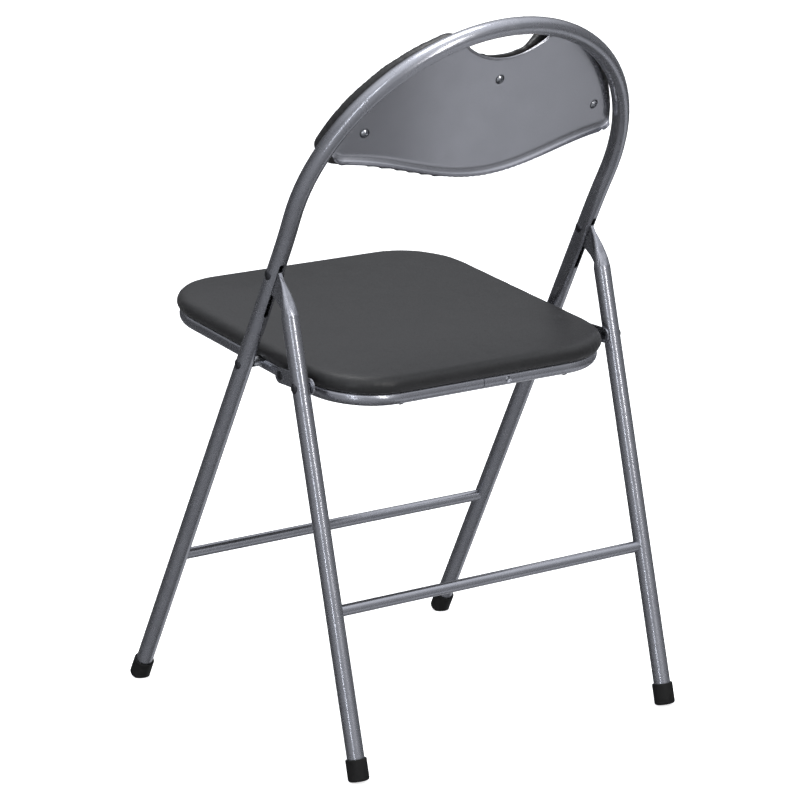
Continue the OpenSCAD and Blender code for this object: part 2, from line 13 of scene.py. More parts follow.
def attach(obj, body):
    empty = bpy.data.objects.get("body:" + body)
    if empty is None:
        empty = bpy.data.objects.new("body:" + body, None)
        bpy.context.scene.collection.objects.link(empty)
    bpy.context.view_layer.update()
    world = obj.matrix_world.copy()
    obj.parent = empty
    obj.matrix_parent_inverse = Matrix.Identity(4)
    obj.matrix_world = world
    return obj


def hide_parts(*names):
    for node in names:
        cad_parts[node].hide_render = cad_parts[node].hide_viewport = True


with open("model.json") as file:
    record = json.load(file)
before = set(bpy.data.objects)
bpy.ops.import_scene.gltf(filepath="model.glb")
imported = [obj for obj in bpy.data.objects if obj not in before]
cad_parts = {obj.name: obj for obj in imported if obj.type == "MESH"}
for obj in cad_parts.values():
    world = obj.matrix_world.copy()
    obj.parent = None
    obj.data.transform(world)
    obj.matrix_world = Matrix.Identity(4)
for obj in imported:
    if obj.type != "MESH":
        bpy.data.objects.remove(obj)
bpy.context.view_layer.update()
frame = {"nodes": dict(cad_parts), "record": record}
NODES = frame["nodes"]

# ---------------------------------------------------------------- camera
CAMERA_AT = Vector((2.26425, 3.13857, 1.33894))
CAMERA_BACK = Vector((0.56630, 0.78540, 0.25012))
CAMERA_RIGHT = Vector((-0.81113, 0.58486, 0.0))


def make_camera():
    data = bpy.data.cameras.new("camera")
    data.lens = 161.85
    data.sensor_width = 36.0
    data.clip_end = 60.0
    cam = bpy.data.objects.new("camera", data)
    bpy.context.scene.collection.objects.link(cam)
    back = CAMERA_BACK.normalized()
    right = (CAMERA_RIGHT - back * CAMERA_RIGHT.dot(back)).normalized()
    up = back.cross(right)
    turn = Matrix((right, up, back)).transposed().to_4x4()
    cam.matrix_world = Matrix.Translation(CAMERA_AT) @ turn
    bpy.context.scene.camera = cam
    return cam


make_camera()

# ---------------------------------------------------------------- frame sizes
MM = 0.001
FOOT_Y = 217.6 * MM
LEAN = math.radians(28.2)
ARCH_V = 677 * MM
TUBE_R = 9.5 * MM
SEAT_V = 468.4 * MM
TILT = math.radians(6.5)
SEAT_HALF = 194 * MM
SEAT_FRONT = 222.5 * MM
SEAT_REAR = 163.5 * MM
SEAT_CORNER = 80 * MM
BEND_R = 910 * MM
BULGE = 20 * MM
SLOPE = 0.124
PANEL_LOW = 713.2 * MM
PANEL_END = 736.5 * MM
WING_U = 165 * MM
# Radius and height of the arc, reach to each side, radius of the lower corners,
# distance below the panel's edge, radius and lowest point of the hand-hold
PANEL_SHAPE = [k * MM for k in (195.5, 683, 180, 12, 0, 86, 848.5)]
LOBE_AT = (171.5 * MM, 751.8 * MM)
LOBE_R = 15 * MM
PAD_SHAPE = [k * MM for k in (208, 677.7, 197, 28, 14, 86, 848)]
LIP = 7 * MM


def hoop(u, t, v):
    """A place in the hoop's own frame: t is to the rear, v is up the hoop."""
    return Vector((u,
                   -FOOT_Y + v * math.sin(LEAN) + t * math.cos(LEAN),
                   v * math.cos(LEAN) - t * math.sin(LEAN)))


SEAT_PIVOT = hoop(0, 0, SEAT_V)


def seat(x, p, q):
    """A place in the seat's own frame: p is to the rear, q is up."""
    return SEAT_PIVOT + Vector((x,
                                p * math.cos(TILT) + q * math.sin(TILT),
                                -p * math.sin(TILT) + q * math.cos(TILT)))


# ---------------------------------------------------------------- materials
def new_material(name):
    mat = bpy.data.materials.new(name)
    mat.use_nodes = True
    tree = mat.node_tree
    tree.nodes.clear()
    out = tree.nodes.new("ShaderNodeOutputMaterial")
    bsdf = tree.nodes.new("ShaderNodeBsdfPrincipled")
    tree.links.new(bsdf.outputs["BSDF"], out.inputs["Surface"])
    coord = tree.nodes.new("ShaderNodeTexCoord")
    return mat, tree, bsdf, coord.outputs["Object"]


def noise_tex(tree, at, scale, detail=3.0, rough=0.5, distort=0.0):
    n = tree.nodes.new("ShaderNodeTexNoise")
    n.inputs["Scale"].default_value = scale
    n.inputs["Detail"].default_value = detail
    n.inputs["Roughness"].default_value = rough
    n.inputs["Distortion"].default_value = distort
    tree.links.new(at, n.inputs["Vector"])
    return n.outputs["Fac"]


def voronoi_tex(tree, at, scale, feature="F1", out="Distance", smooth=None):
    n = tree.nodes.new("ShaderNodeTexVoronoi")
    n.feature = feature
    n.inputs["Scale"].default_value = scale
    if smooth is not None and "Smoothness" in n.inputs:
        n.inputs["Smoothness"].default_value = smooth
    tree.links.new(at, n.inputs["Vector"])
    return n.outputs[out]


def ramp(tree, fac, stops):
    n = tree.nodes.new("ShaderNodeValToRGB")
    els = n.color_ramp.elements
    while len(els) < len(stops):
        els.new(0.5)
    for el, (pos, col) in zip(els, stops):
        el.position = pos
        el.color = (*col, 1.0) if len(col) == 3 else col
    tree.links.new(fac, n.inputs["Fac"])
    return n.outputs["Color"]


def map_range(tree, fac, a, b, lo, hi):
    n = tree.nodes.new("ShaderNodeMapRange")
    for key, val in (("From Min", a), ("From Max", b), ("To Min", lo), ("To Max", hi)):
        n.inputs[key].default_value = val
    tree.links.new(fac, n.inputs["Value"])
    return n.outputs["Result"]


def math_node(tree, op, a, b):
    n = tree.nodes.new("ShaderNodeMath")
    n.operation = op
    for i, v in enumerate((a, b)):
        if isinstance(v, (int, float)):
            n.inputs[i].default_value = v
        else:
            tree.links.new(v, n.inputs[i])
    return n.outputs["Value"]


def mix_color(tree, fac, a, b):
    n = tree.nodes.new("ShaderNodeMix")
    n.data_type = "RGBA"
    for sock, v in ((n.inputs[0], fac), (n.inputs[6], a), (n.inputs[7], b)):
        if isinstance(v, (int, float)):
            sock.default_value = v
        elif isinstance(v, tuple):
            sock.default_value = (*v, 1.0)
        else:
            tree.links.new(v, sock)
    return n.outputs[2]


def bump(tree, height, strength, distance, below=None):
    n = tree.nodes.new("ShaderNodeBump")
    n.inputs["Strength"].default_value = strength
    n.inputs["Distance"].default_value = distance
    tree.links.new(height, n.inputs["Height"])
    if below is not None:
        tree.links.new(below, n.inputs["Normal"])
    return n.outputs["Normal"]


def paint_material(name, dark, light, rough, peel):
    """Metallic grey powder coat: fine flakes, soft mottling and orange peel."""
    mat, tree, bsdf, at = new_material(name)
    flakes = voronoi_tex(tree, at, 2600, out="Color")
    sep = tree.nodes.new("ShaderNodeSeparateColor")
    tree.links.new(flakes, sep.inputs["Color"])
    mottle = noise_tex(tree, at, 24, 4, 0.6)
    base = ramp(tree, mottle, [(0.3, dark), (0.7, light)])
    glint = map_range(tree, sep.outputs["Red"], 0.5, 1.0, 0.0, 0.30)
    bright = tuple(min(1.0, c * 1.5) for c in light)
    colour = mix_color(tree, glint, base, bright)
    # Small dull scuffs here and there
    scuff = noise_tex(tree, at, 160, 6, 0.7, 0.8)
    scuff = map_range(tree, scuff, 0.72, 0.78, 0.0, 0.25)
    colour = mix_color(tree, scuff, colour, (0.12, 0.12, 0.13))
    tree.links.new(colour, bsdf.inputs["Base Color"])
    bsdf.inputs["Metallic"].default_value = 0.94
    vary = noise_tex(tree, at, 60, 4, 0.6)
    tree.links.new(map_range(tree, vary, 0.3, 0.7, rough - 0.02, rough + 0.03),
                   bsdf.inputs["Roughness"])
    bsdf.inputs["Coat Weight"].default_value = 0.35
    bsdf.inputs["Coat Roughness"].default_value = 0.16
    orange = noise_tex(tree, at, 420, 2, 0.5)
    first = bump(tree, orange, peel, 0.0002)
    grains = noise_tex(tree, at, 2400, 2, 0.5)
    tree.links.new(bump(tree, grains, peel, 0.0001, first), bsdf.inputs["Normal"])
    return mat


def vinyl_material():
    """Black upholstery vinyl: pebbled grain with painted shade in its grooves, faint creases and a
    soft sheen.
    """
    mat, tree, bsdf, at = new_material("vinyl_black")
    cells = voronoi_tex(tree, at, 820, "SMOOTH_F1", smooth=0.6)
    veins = voronoi_tex(tree, at, 430, "DISTANCE_TO_EDGE")
    wander = noise_tex(tree, at, 38, 5, 0.55, 0.4)
    colour = ramp(tree, wander, [(0.25, (0.007, 0.007, 0.0075)), (0.75, (0.012, 0.012, 0.0125))])
    pore = map_range(tree, veins, 0.0, 0.10, 0.0, 1.0)
    # Painted shade: where pore is low, at the cell edges, the grooves between the pebbles are
    # darkened to near black
    colour = mix_color(tree, pore, (0.004, 0.004, 0.004), colour)
    tree.links.new(colour, bsdf.inputs["Base Color"])
    rough = math_node(tree, "ADD", map_range(tree, wander, 0.3, 0.7, 0.36, 0.46),
                      map_range(tree, veins, 0.0, 0.10, 0.10, 0.0))
    tree.links.new(rough, bsdf.inputs["Roughness"])
    bsdf.inputs["Specular IOR Level"].default_value = 0.42
    bsdf.inputs["Sheen Weight"].default_value = 0.04
    bsdf.inputs["Sheen Roughness"].default_value = 0.5
    soft = bump(tree, noise_tex(tree, at, 22, 3, 0.5), 0.10, 0.004)
    pebble = bump(tree, cells, 0.16, 0.0006, soft)
    crease = bump(tree, pore, 0.10, 0.0003, pebble)
    tree.links.new(crease, bsdf.inputs["Normal"])
    return mat


def rubber_material():
    mat, tree, bsdf, at = new_material("rubber_black")
    dust = noise_tex(tree, at, 90, 5, 0.65, 0.3)
    colour = ramp(tree, dust, [(0.35, (0.004, 0.004, 0.004)), (0.8, (0.010, 0.0098, 0.0095))])
    tree.links.new(colour, bsdf.inputs["Base Color"])
    tree.links.new(map_range(tree, dust, 0.3, 0.7, 0.48, 0.66), bsdf.inputs["Roughness"])
    bsdf.inputs["Specular IOR Level"].default_value = 0.2
    fine = noise_tex(tree, at, 1500, 3, 0.6)
    tree.links.new(bump(tree, fine, 0.18, 0.0003), bsdf.inputs["Normal"])
    return mat


def steel_material():
    """Zinc-plated rivets and screws with turned marks and light tarnish."""
    mat, tree, bsdf, at = new_material("steel_zinc")
    tarnish = noise_tex(tree, at, 300, 5, 0.6, 0.5)
    colour = ramp(tree, tarnish, [(0.3, (0.30, 0.31, 0.33)), (0.7, (0.62, 0.63, 0.66))])
    tree.links.new(colour, bsdf.inputs["Base Color"])
    bsdf.inputs["Metallic"].default_value = 1.0
    tree.links.new(map_range(tree, tarnish, 0.3, 0.7, 0.16, 0.30), bsdf.inputs["Roughness"])
    marks = noise_tex(tree, at, 2200, 3, 0.6)
    tree.links.new(bump(tree, marks, 0.10, 0.0002), bsdf.inputs["Normal"])
    return mat


def board_material():
    """Raw plywood: long grain with darker figure and open pores."""
    mat, tree, bsdf, at = new_material("board_ply")
    scale = tree.nodes.new("ShaderNodeMapping")
    scale.inputs["Scale"].default_value = (1.0, 0.09, 1.0)
    tree.links.new(at, scale.inputs["Vector"])
    grain_at = scale.outputs["Vector"]
    figure = noise_tex(tree, grain_at, 60, 6, 0.6, 1.5)
    colour = ramp(tree, figure, [(0.25, (0.27, 0.165, 0.085)), (0.5, (0.40, 0.27, 0.15)),
                                 (0.75, (0.50, 0.36, 0.21))])
    pores = noise_tex(tree, grain_at, 900, 3, 0.6)
    pore = map_range(tree, pores, 0.58, 0.68, 0.0, 0.6)
    tree.links.new(mix_color(tree, pore, colour, (0.16, 0.09, 0.05)),
                   bsdf.inputs["Base Color"])
    tree.links.new(map_range(tree, figure, 0.3, 0.7, 0.62, 0.78), bsdf.inputs["Roughness"])
    tree.links.new(bump(tree, pores, 0.25, 0.0004), bsdf.inputs["Normal"])
    return mat


PAINT = paint_material("paint_tube", (0.30, 0.305, 0.335), (0.34, 0.345, 0.375), 0.26, 0.012)
PANEL = paint_material("paint_panel", (0.33, 0.333, 0.36), (0.355, 0.358, 0.385), 0.22, 0.002)
VINYL = vinyl_material()
RUBBER = rubber_material()
STEEL = steel_material()
RIVET = paint_material("paint_rivet", (0.045, 0.046, 0.052), (0.07, 0.072, 0.08), 0.26, 0.03)
BOARD = board_material()
FINISH = {"frame_paint": PAINT, "panel_paint": PANEL, "vinyl": VINYL,
          "rubber": RUBBER, "steel": STEEL, "rivets": RIVET, "board": BOARD}


def smooth_by_angle(obj, degrees=32):
    for poly in obj.data.polygons:
        poly.use_smooth = True
    limit = math.radians(degrees)
    bm = bmesh.new()
    bm.from_mesh(obj.data)
    sharp = [e.index for e in bm.edges
             if len(e.link_faces) != 2 or e.calc_face_angle(0.0) > limit]
    bm.free()
    if "sharp_edge" not in obj.data.attributes:
        obj.data.attributes.new("sharp_edge", "BOOLEAN", "EDGE")
    flags = obj.data.attributes["sharp_edge"].data
    for i in sharp:
        flags[i].value = True


def finish_cad_nodes():
    slot_of = {s["node"]: s["material_slot"] for s in frame["record"]["subparts"]}
    for name, obj in NODES.items():
        obj.data.materials.clear()
        obj.data.materials.append(FINISH[slot_of[name]])


finish_cad_nodes()


# ---------------------------------------------------------------- mesh helpers
def add_piece(name, verts, faces, mat, body):
    me = bpy.data.meshes.new(name)
    me.from_pydata([tuple(v) for v in verts], [], faces)
    me.validate()
    bm = bmesh.new()
    bm.from_mesh(me)
    bmesh.ops.remove_doubles(bm, verts=bm.verts, dist=1e-6)
    bmesh.ops.recalc_face_normals(bm, faces=bm.faces)
    bm.to_mesh(me)
    bm.free()
    obj = bpy.data.objects.new(name, me)
    bpy.context.scene.collection.objects.link(obj)
    me.materials.append(mat)
    for poly in me.polygons:
        poly.use_smooth = True
    if body:
        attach(obj, body)
    return obj


def sweep(path, radius, sides=8, closed=False):
    """(verts, faces) of a round bar along path."""
    n = len(path)
    verts, faces = [], []
    side = None
    for i, p in enumerate(path):
        a = path[(i - 1) % n] if closed or i else p
        b = path[(i + 1) % n] if closed or i < n - 1 else p
        along = (b - a).normalized()
        if side is None:
            side = along.orthogonal().normalized()
        side = (side - along * side.dot(along)).normalized()
        other = along.cross(side)
        for k in range(sides):
            t = 2 * math.pi * k / sides
            verts.append(p + side * (radius * math.cos(t)) + other * (radius * math.sin(t)))
    for i in range(n if closed else n - 1):
        j = (i + 1) % n
        for k in range(sides):
            m = (k + 1) % sides
            faces.append((i * sides + k, i * sides + m, j * sides + m, j * sides + k))
    if not closed:
        faces.append(tuple(range(sides - 1, -1, -1)))
        faces.append(tuple(range((n - 1) * sides, n * sides)))
    return verts, faces


def edge_distance(points, outline):
    """Distance of each 2D point inside the outline from its edge."""
    segs = [(Vector(a), Vector(b)) for a, b in zip(outline, outline[1:] + outline[:1])]
    out = []
    for p in points:
        p = Vector(p)
        best = 1e9
        for a, b in segs:
            d = b - a
            k = max(0.0, min(1.0, (p - a).dot(d) / max(d.dot(d), 1e-12)))
            gap = p - a - d * k
            best = min(best, gap.dot(gap))
        out.append(math.sqrt(best))
    return out


def inside(p, outline):
    """Whether a 2D point is inside a closed outline."""
    odd = False
    x, y = p
    j = len(outline) - 1
    for i, (xi, yi) in enumerate(outline):
        xj, yj = outline[j]
        if (yi > y) != (yj > y) and x < (xj - xi) * (y - yi) / (yj - yi) + xi:
            odd = not odd
        j = i
    return odd


# Spacing of the rows in a grid of even triangles
ROW_STEP = 0.866


def filled(outline, step, rings=()):
    """2D triangles that fill an outline: (points, triangles, edge distance)."""
    lo = [min(p[i] for p in outline) for i in (0, 1)]
    hi = [max(p[i] for p in outline) for i in (0, 1)]
    grid = []
    rows = int((hi[1] - lo[1]) / (step * ROW_STEP)) + 2
    cols = int((hi[0] - lo[0]) / step) + 2
    for r in range(rows):
        for c in range(cols):
            p = (lo[0] + (c + 0.5 * (r % 2)) * step, lo[1] + r * step * ROW_STEP)
            if inside(p, outline):
                grid.append(p)
    far = edge_distance(grid, outline)
    margin = (max(rings) if rings else 0.0) + step * 0.45
    pts = [p for p, d in zip(grid, far) if d > margin]
    n = len(outline)
    for inset in rings:
        for i in range(n):
            a, b = Vector(outline[i - 1]), Vector(outline[(i + 1) % n])
            along = (b - a).normalized()
            p = Vector(outline[i]) + Vector((-along.y, along.x)) * inset
            if inside(p, outline):
                pts.append((p.x, p.y))
    d = edge_distance(pts, outline)
    keep = [p for p, k in zip(pts, d)
            if k > margin - 1e-6 or any(abs(k - r) < 0.08 * r for r in rings)]
    every = [Vector(p) for p in outline] + [Vector(p) for p in keep]
    ring = [(i, (i + 1) % n) for i in range(n)]
    out = geometry.delaunay_2d_cdt(every, ring, [list(range(n))], 1, 1e-7)
    flat = [(p.x, p.y) for p in out[0]]
    return flat, [tuple(f) for f in out[2]], edge_distance(flat, outline)


def slab(outline, step, place, upper, lower, rings=()):
    """A closed solid over an outline; upper and lower give the height from
    (a, b, edge distance), and place turns (a, b, height) into a point."""
    flat, tris, dist = filled(outline, step, rings)
    n = len(flat)
    rim = len(outline)
    verts = [place(a, b, upper(a, b, d)) for (a, b), d in zip(flat, dist)]
    verts += [place(a, b, lower(a, b, d)) for (a, b), d in zip(flat, dist)]
    faces = list(tris) + [tuple(i + n for i in reversed(f)) for f in tris]
    for i in range(rim):
        j = (i + 1) % rim
        faces.append((i, j, j + n, i + n))
    return verts, faces


def resample(points, step):
    """Closed 2D polygon with points about step apart, anticlockwise."""
    area = sum(a[0] * b[1] - b[0] * a[1]
               for a, b in zip(points, points[1:] + points[:1]))
    if area < 0:
        points = points[::-1]
    out = []
    for a, b in zip(points, points[1:] + points[:1]):
        a, b = Vector(a), Vector(b)
        n = max(1, round((b - a).length / step))
        out += [tuple(a.lerp(b, i / n)) for i in range(n)]
    return out


def rounded(points, radius, arc=6):
    """Closed polygon with its corners rounded."""
    out = []
    n = len(points)
    for i in range(n):
        p = Vector(points[i])
        a = Vector(points[i - 1]) - p
        b = Vector(points[(i + 1) % n]) - p
        turn = math.pi - a.angle(b)
        if turn < 0.2:
            out.append(tuple(p))
            continue
        r = min(radius, 0.45 * min(a.length, b.length) / math.tan(turn / 2))
        s = r * math.tan(turn / 2)
        p0, p1 = p + a.normalized() * s, p + b.normalized() * s
        for k in range(arc + 1):
            t = k / arc
            out.append(tuple(p0.lerp(p, t).lerp(p.lerp(p1, t), t)))
    return out


# ---------------------------------------------------------------- soft pads
VOXEL = 4 * MM
PRESSURE = 4.0
SIM_FRAMES = 20


def inflate(obj, cap, out, outline, place, face_at, fade):
    """Cloth-simulated puff of one face, pinned along the rim and on all other
    sides, capped, and applied. place gives a point's flat coordinates and its
    depth along out, and the face is what lies past face_at."""
    def apply_all():
        dg = bpy.context.evaluated_depsgraph_get()
        me = bpy.data.meshes.new_from_object(obj.evaluated_get(dg))
        mats = list(obj.data.materials)
        obj.modifiers.clear()
        obj.data = me
        me.materials.clear()
        for m in mats:
            me.materials.append(m)

    remesh = obj.modifiers.new("remesh", "REMESH")
    remesh.mode = "VOXEL"
    remesh.voxel_size = VOXEL
    remesh.use_smooth_shade = True
    apply_all()
    rest = [v.co.copy() for v in obj.data.vertices]
    local = [place(p) for p in rest]
    rim = edge_distance([(a, b) for a, b, _ in local], outline)
    free = []
    for (_, _, c), d in zip(local, rim):
        k = max(0.0, min(1.0, (d - fade[0]) / (fade[1] - fade[0])))
        free.append(k * k * (3 - 2 * k) if c > face_at else 0.0)
    group = obj.vertex_groups.new(name="pin")
    for i, w in enumerate(free):
        if w < 1:
            group.add([i], 1 - w, "REPLACE")
    cloth = obj.modifiers.new("cloth", "CLOTH")
    st = cloth.settings
    st.quality = 6
    st.mass = 0.3
    st.tension_stiffness = 20
    st.compression_stiffness = 20
    st.shear_stiffness = 8
    st.bending_stiffness = 1.2
    st.use_pressure = True
    st.uniform_pressure_force = PRESSURE
    st.vertex_group_mass = "pin"
    st.effector_weights.gravity = 0
    cloth.collision_settings.use_collision = False
    cloth.point_cache.frame_start = 1
    cloth.point_cache.frame_end = SIM_FRAMES
    scene = bpy.context.scene
    for f in range(1, SIM_FRAMES + 1):
        scene.frame_set(f)
    apply_all()
    scene.frame_set(1)
    for v, p, w in zip(obj.data.vertices, rest, free):
        v.co = p + out * (max(0.0, min(cap, (v.co - p).dot(out))) * w)
    for poly in obj.data.polygons:
        poly.use_smooth = True


def relax(obj, times):
    """Laplacian smoothing of a mesh."""
    me = obj.data
    near = [[] for _ in me.vertices]
    for e in me.edges:
        a, b = e.vertices
        near[a].append(b)
        near[b].append(a)
    co = [v.co.copy() for v in me.vertices]
    for _ in range(times):
        new = []
        for i, p in enumerate(co):
            if not near[i]:
                new.append(p)
                continue
            mean = sum((co[j] for j in near[i]), Vector()) / len(near[i])
            new.append(p.lerp(mean, 0.5))
        co = new
    for v, p in zip(me.vertices, co):
        v.co = p


# ---------------------------------------------------------------- seat cushion
def seat_outline(half, front, rear, r, arc=14):
    pts = []
    for sx, sp, start in ((1, 1, 0), (-1, 1, 90), (-1, -1, 180), (1, -1, 270)):
        cx = sx * (half - r)
        cp = (rear - r) if sp > 0 else -(front - r)
        for k in range(arc + 1):
            a = math.radians(start + 90 * k / arc)
            pts.append((cx + r * math.cos(a), cp + r * math.sin(a)))
    return pts


CUSHION_LOW = 2.6 * MM
CUSHION_EDGE = 18 * MM
CUSHION_CROWN = 10 * MM


def make_seat_cushion():
    inset = 1.2 * MM
    outline = resample(seat_outline(SEAT_HALF - inset, SEAT_FRONT - inset,
                                    SEAT_REAR - inset, SEAT_CORNER - inset), 6 * MM)
    mid = CUSHION_LOW + CUSHION_EDGE * 0.46
    soft = 11 * MM
    under = 6 * MM

    def roll(d, r):
        k = max(0.0, min(1.0, 1 - d / r))
        return math.sqrt(max(0.0, 1 - k * k))

    def upper(x, p, d):
        edge = mid + (CUSHION_LOW + CUSHION_EDGE - mid) * roll(d, soft)
        k = min(1.0, d / (150 * MM))
        return edge + (CUSHION_CROWN - 1.5 * MM) * (1 - (1 - k) ** 2.4)

    def lower(x, p, d):
        return mid - (mid - CUSHION_LOW) * roll(d, under)

    verts, faces = slab(outline, 8 * MM, seat, upper, lower, rings=(2 * MM, 5 * MM, 10 * MM))
    obj = add_piece("seat_pad", verts, faces, VINYL, "seat")
    origin = seat(0, 0, 0)
    axes = [seat(*a) - origin for a in ((1, 0, 0), (0, 1, 0), (0, 0, 1))]
    inflate(obj, 3 * MM, axes[2], outline,
            lambda p: tuple((p - origin).dot(a) for a in axes),
            CUSHION_LOW + CUSHION_EDGE * 0.7, (14 * MM, 60 * MM))
    relax(obj, 2)
    sub = obj.modifiers.new("fine", "SUBSURF")
    sub.levels = sub.render_levels = 1
    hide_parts("seat_cushion")
    return obj


# ---------------------------------------------------------------- back cushion
def panel_edge(u):
    k = min(abs(u) / WING_U, 1)
    return PANEL_LOW + (PANEL_END - PANEL_LOW) * (1 - math.cos(math.pi * k)) / 2


def panel_t(u, v):
    """How far the panel's rear face stands behind the hoop's plane."""
    return BULGE - (v - PANEL_LOW) * SLOPE - u * u / (2 * BEND_R)


BOARD_T = 6 * MM
PANEL_T = 1.5 * MM
PAD_T = 15.5 * MM


def back_shape(shape, inset=0.0):
    """Outline of a back piece: round above, a hand-hold bitten out of the top, and
    the wavy lower edge."""
    radius, centre, reach, corner, drop, grip_r, grip_low = shape
    radius, reach = radius - inset, reach - inset
    grip_c = grip_low + grip_r
    grip_r += inset
    d = grip_c - centre
    v_rel = (d * d + radius * radius - grip_r * grip_r) / (2 * d)
    tip_u = math.sqrt(radius * radius - v_rel * v_rel)
    tip_a = math.atan2(v_rel, tip_u)
    low_a = math.acos(reach / radius)
    arc = [(radius * math.cos(low_a + (tip_a - low_a) * i / 48),
            centre + radius * math.sin(low_a + (tip_a - low_a) * i / 48)) for i in range(49)]
    half = math.asin(min(1.0, tip_u / grip_r))
    bite = [(grip_r * math.sin(half - half * i / 12),
             grip_c - grip_r * math.cos(half - half * i / 12)) for i in range(1, 24)]
    low = []
    for i in range(73):
        # Closer together towards the corners
        u = -reach * math.cos(math.pi * i / 72)
        k = min(max(abs(u) - reach + corner, 0.0), corner)
        low.append((u, panel_edge(u) + corner - math.sqrt(corner * corner - k * k) - drop + inset))
    return arc + bite + [(-u, v) for u, v in reversed(arc)] + low


def make_back_cushion():
    outline = resample(rounded(back_shape(PAD_SHAPE, 0.6 * MM), 14 * MM), 6 * MM)
    rear = PANEL_T + BOARD_T
    front = rear + PAD_T

    def roll(d, r):
        k = max(0.0, min(1.0, 1 - d / r))
        return math.sqrt(max(0.0, 1 - k * k))

    def deep(u, v):
        return panel_t(u, v)

    def back_face(u, v, d):
        # Stays in front of the tube where it passes it
        limit = -TUBE_R - 0.6 * MM
        r = math.hypot(u, v - ARCH_V)
        flat = deep(u, v) - rear
        k = max(0.0, min(1.0, (r - 185 * MM) / (7 * MM)))
        k = k * k * (3 - 2 * k)
        return flat * (1 - k) + min(flat, limit) * k - 2 * MM * (1 - roll(d, 4 * MM))

    grip_c = PAD_SHAPE[5] + PAD_SHAPE[6]

    def front_face(u, v, d):
        # The padding thins towards the hand-hold
        near = max(0.0, min(1.0, (math.hypot(u, v - grip_c) - PAD_SHAPE[5]) / (26 * MM)))
        side = max(0.0, min(1.0, (50 * MM - abs(u)) / (14 * MM)))
        thin = (front - rear - 3 * MM) * (1 - near) ** 2 * side
        face = deep(u, v) - front + thin
        edge = back_face(u, v, 0.0) - 1.5 * MM
        k = max(0.0, 1 - d / (10 * MM))
        return edge + (face - edge) * (1 - k ** 3) ** (1 / 3)

    verts, faces = slab(outline, 8 * MM, lambda u, v, t: hoop(u, t, v),
                        back_face, front_face,
                        rings=(0.5 * MM, 1.6 * MM, 3.4 * MM, 6 * MM, 9.5 * MM))
    obj = add_piece("back_pad", verts, faces, VINYL, "back_frame")
    origin = hoop(0, 0, 0)
    axes = [hoop(*a) - origin for a in ((1, 0, 0), (0, 0, 1), (0, -1, 0))]

    def place(p):
        u, v, t = ((p - origin).dot(a) for a in axes)
        return u, v, t + panel_t(u, v)

    inflate(obj, 3 * MM, axes[2], outline, place, front - 5 * MM, (12 * MM, 40 * MM))
    relax(obj, 2)
    sub = obj.modifiers.new("fine", "SUBSURF")
    sub.levels = sub.render_levels = 1
    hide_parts("back_cushion")
    return obj


# ---------------------------------------------------------------- panel
def panel_place(u, v):
    """A point of the panel's rear face: its lower edge curls to the rear in a
    quarter round, and its round edge turns a little towards the tube."""
    low, keep = v - panel_edge(u), 1.0
    du, dv = abs(u) - LOBE_AT[0], v - LOBE_AT[1]
    if du > 0:
        low = LOBE_R - (math.hypot(du, dv) if dv < 0 else du)
        keep = max(0.0, min(1.0, (15 - math.degrees(math.atan2(dv, du))) / 60))
    curl = max(0.0, LIP - low) * keep
    lift = LIP - math.sqrt(max(LIP * LIP - curl * curl, 0.0))
    rim = max(0.0, 1 - (PANEL_SHAPE[0] - math.hypot(u, v - PANEL_SHAPE[1])) / (9 * MM))
    fade = max(0.0, min(1.0, (860 * MM - v) / (60 * MM)))
    return hoop(u, panel_t(u, v) + lift - 2.2 * MM * rim * rim * fade, v)


def with_lobes(points):
    """The panel's outline with a round lobe added at each lower corner."""
    side = [(LOBE_AT[0] + LOBE_R * math.cos(a), LOBE_AT[1] + LOBE_R * math.sin(a))
            for a in (math.radians(-90 + 157 * i / 30) for i in range(31))]
    low = [p for p in points if abs(p[0]) < LOBE_AT[0] - 1 * MM and p[1] < 760 * MM]
    top = [p for p in points if p[1] > side[-1][1] + 0.5 * MM]
    return side + top + [(-u, v) for u, v in reversed(side)] + low


def make_panel():
    outline = resample(with_lobes(back_shape(PANEL_SHAPE)), 4 * MM)
    rings = [r * MM for r in (0.7, 1.6, 2.8, 4.4, 6.6, 9)]
    flat, tris, _ = filled(outline, 6 * MM, rings)
    step = 0.4 * MM
    rear, front = [], []
    for u, v in flat:
        p = panel_place(u, v)
        du = panel_place(u + step, v) - panel_place(u - step, v)
        dv = panel_place(u, v + step) - panel_place(u, v)
        rear.append(p)
        front.append(p - du.cross(dv).normalized() * (PANEL_T if du.cross(dv).y > 0 else -PANEL_T))
    n, rim = len(flat), len(outline)
    faces = list(tris) + [tuple(i + n for i in reversed(f)) for f in tris]
    faces += [(i, (i + 1) % rim, (i + 1) % rim + n, i + n) for i in range(rim)]
    obj = add_piece("back_panel_skin", rear + front, faces, PANEL, "back_frame")
    smooth_by_angle(obj, 50)
    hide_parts("back_panel")
    # Turned hem round the hand-hold
    grip_r, grip_low = PANEL_SHAPE[5:]
    reach = math.asin(56 * MM / grip_r)
    path = []
    for i in range(49):
        a = reach - 2 * reach * i / 48
        u = (grip_r + 0.6 * MM) * math.sin(a)
        v = grip_low + grip_r - (grip_r + 0.6 * MM) * math.cos(a)
        path.append(hoop(u, panel_t(u, v) + 0.2 * MM, v))
    verts, faces = sweep(path, 1.5 * MM, 12)
    add_piece("grip_hem", verts, faces, PANEL, "back_frame")
    return obj


# ---------------------------------------------------------------- back screws
SCREWS_AT = ((151.5, 768.4), (-151.5, 768.4), (0.0, 823.5))
HEAD_R = 4.6 * MM
HEAD_H = 2.4 * MM
RECESS = 1.3 * MM
RECESS_REACH = 2.7 * MM
RECESS_HALF = 0.5 * MM
SHANK_R = 1.9 * MM
SHANK_LONG = 14 * MM


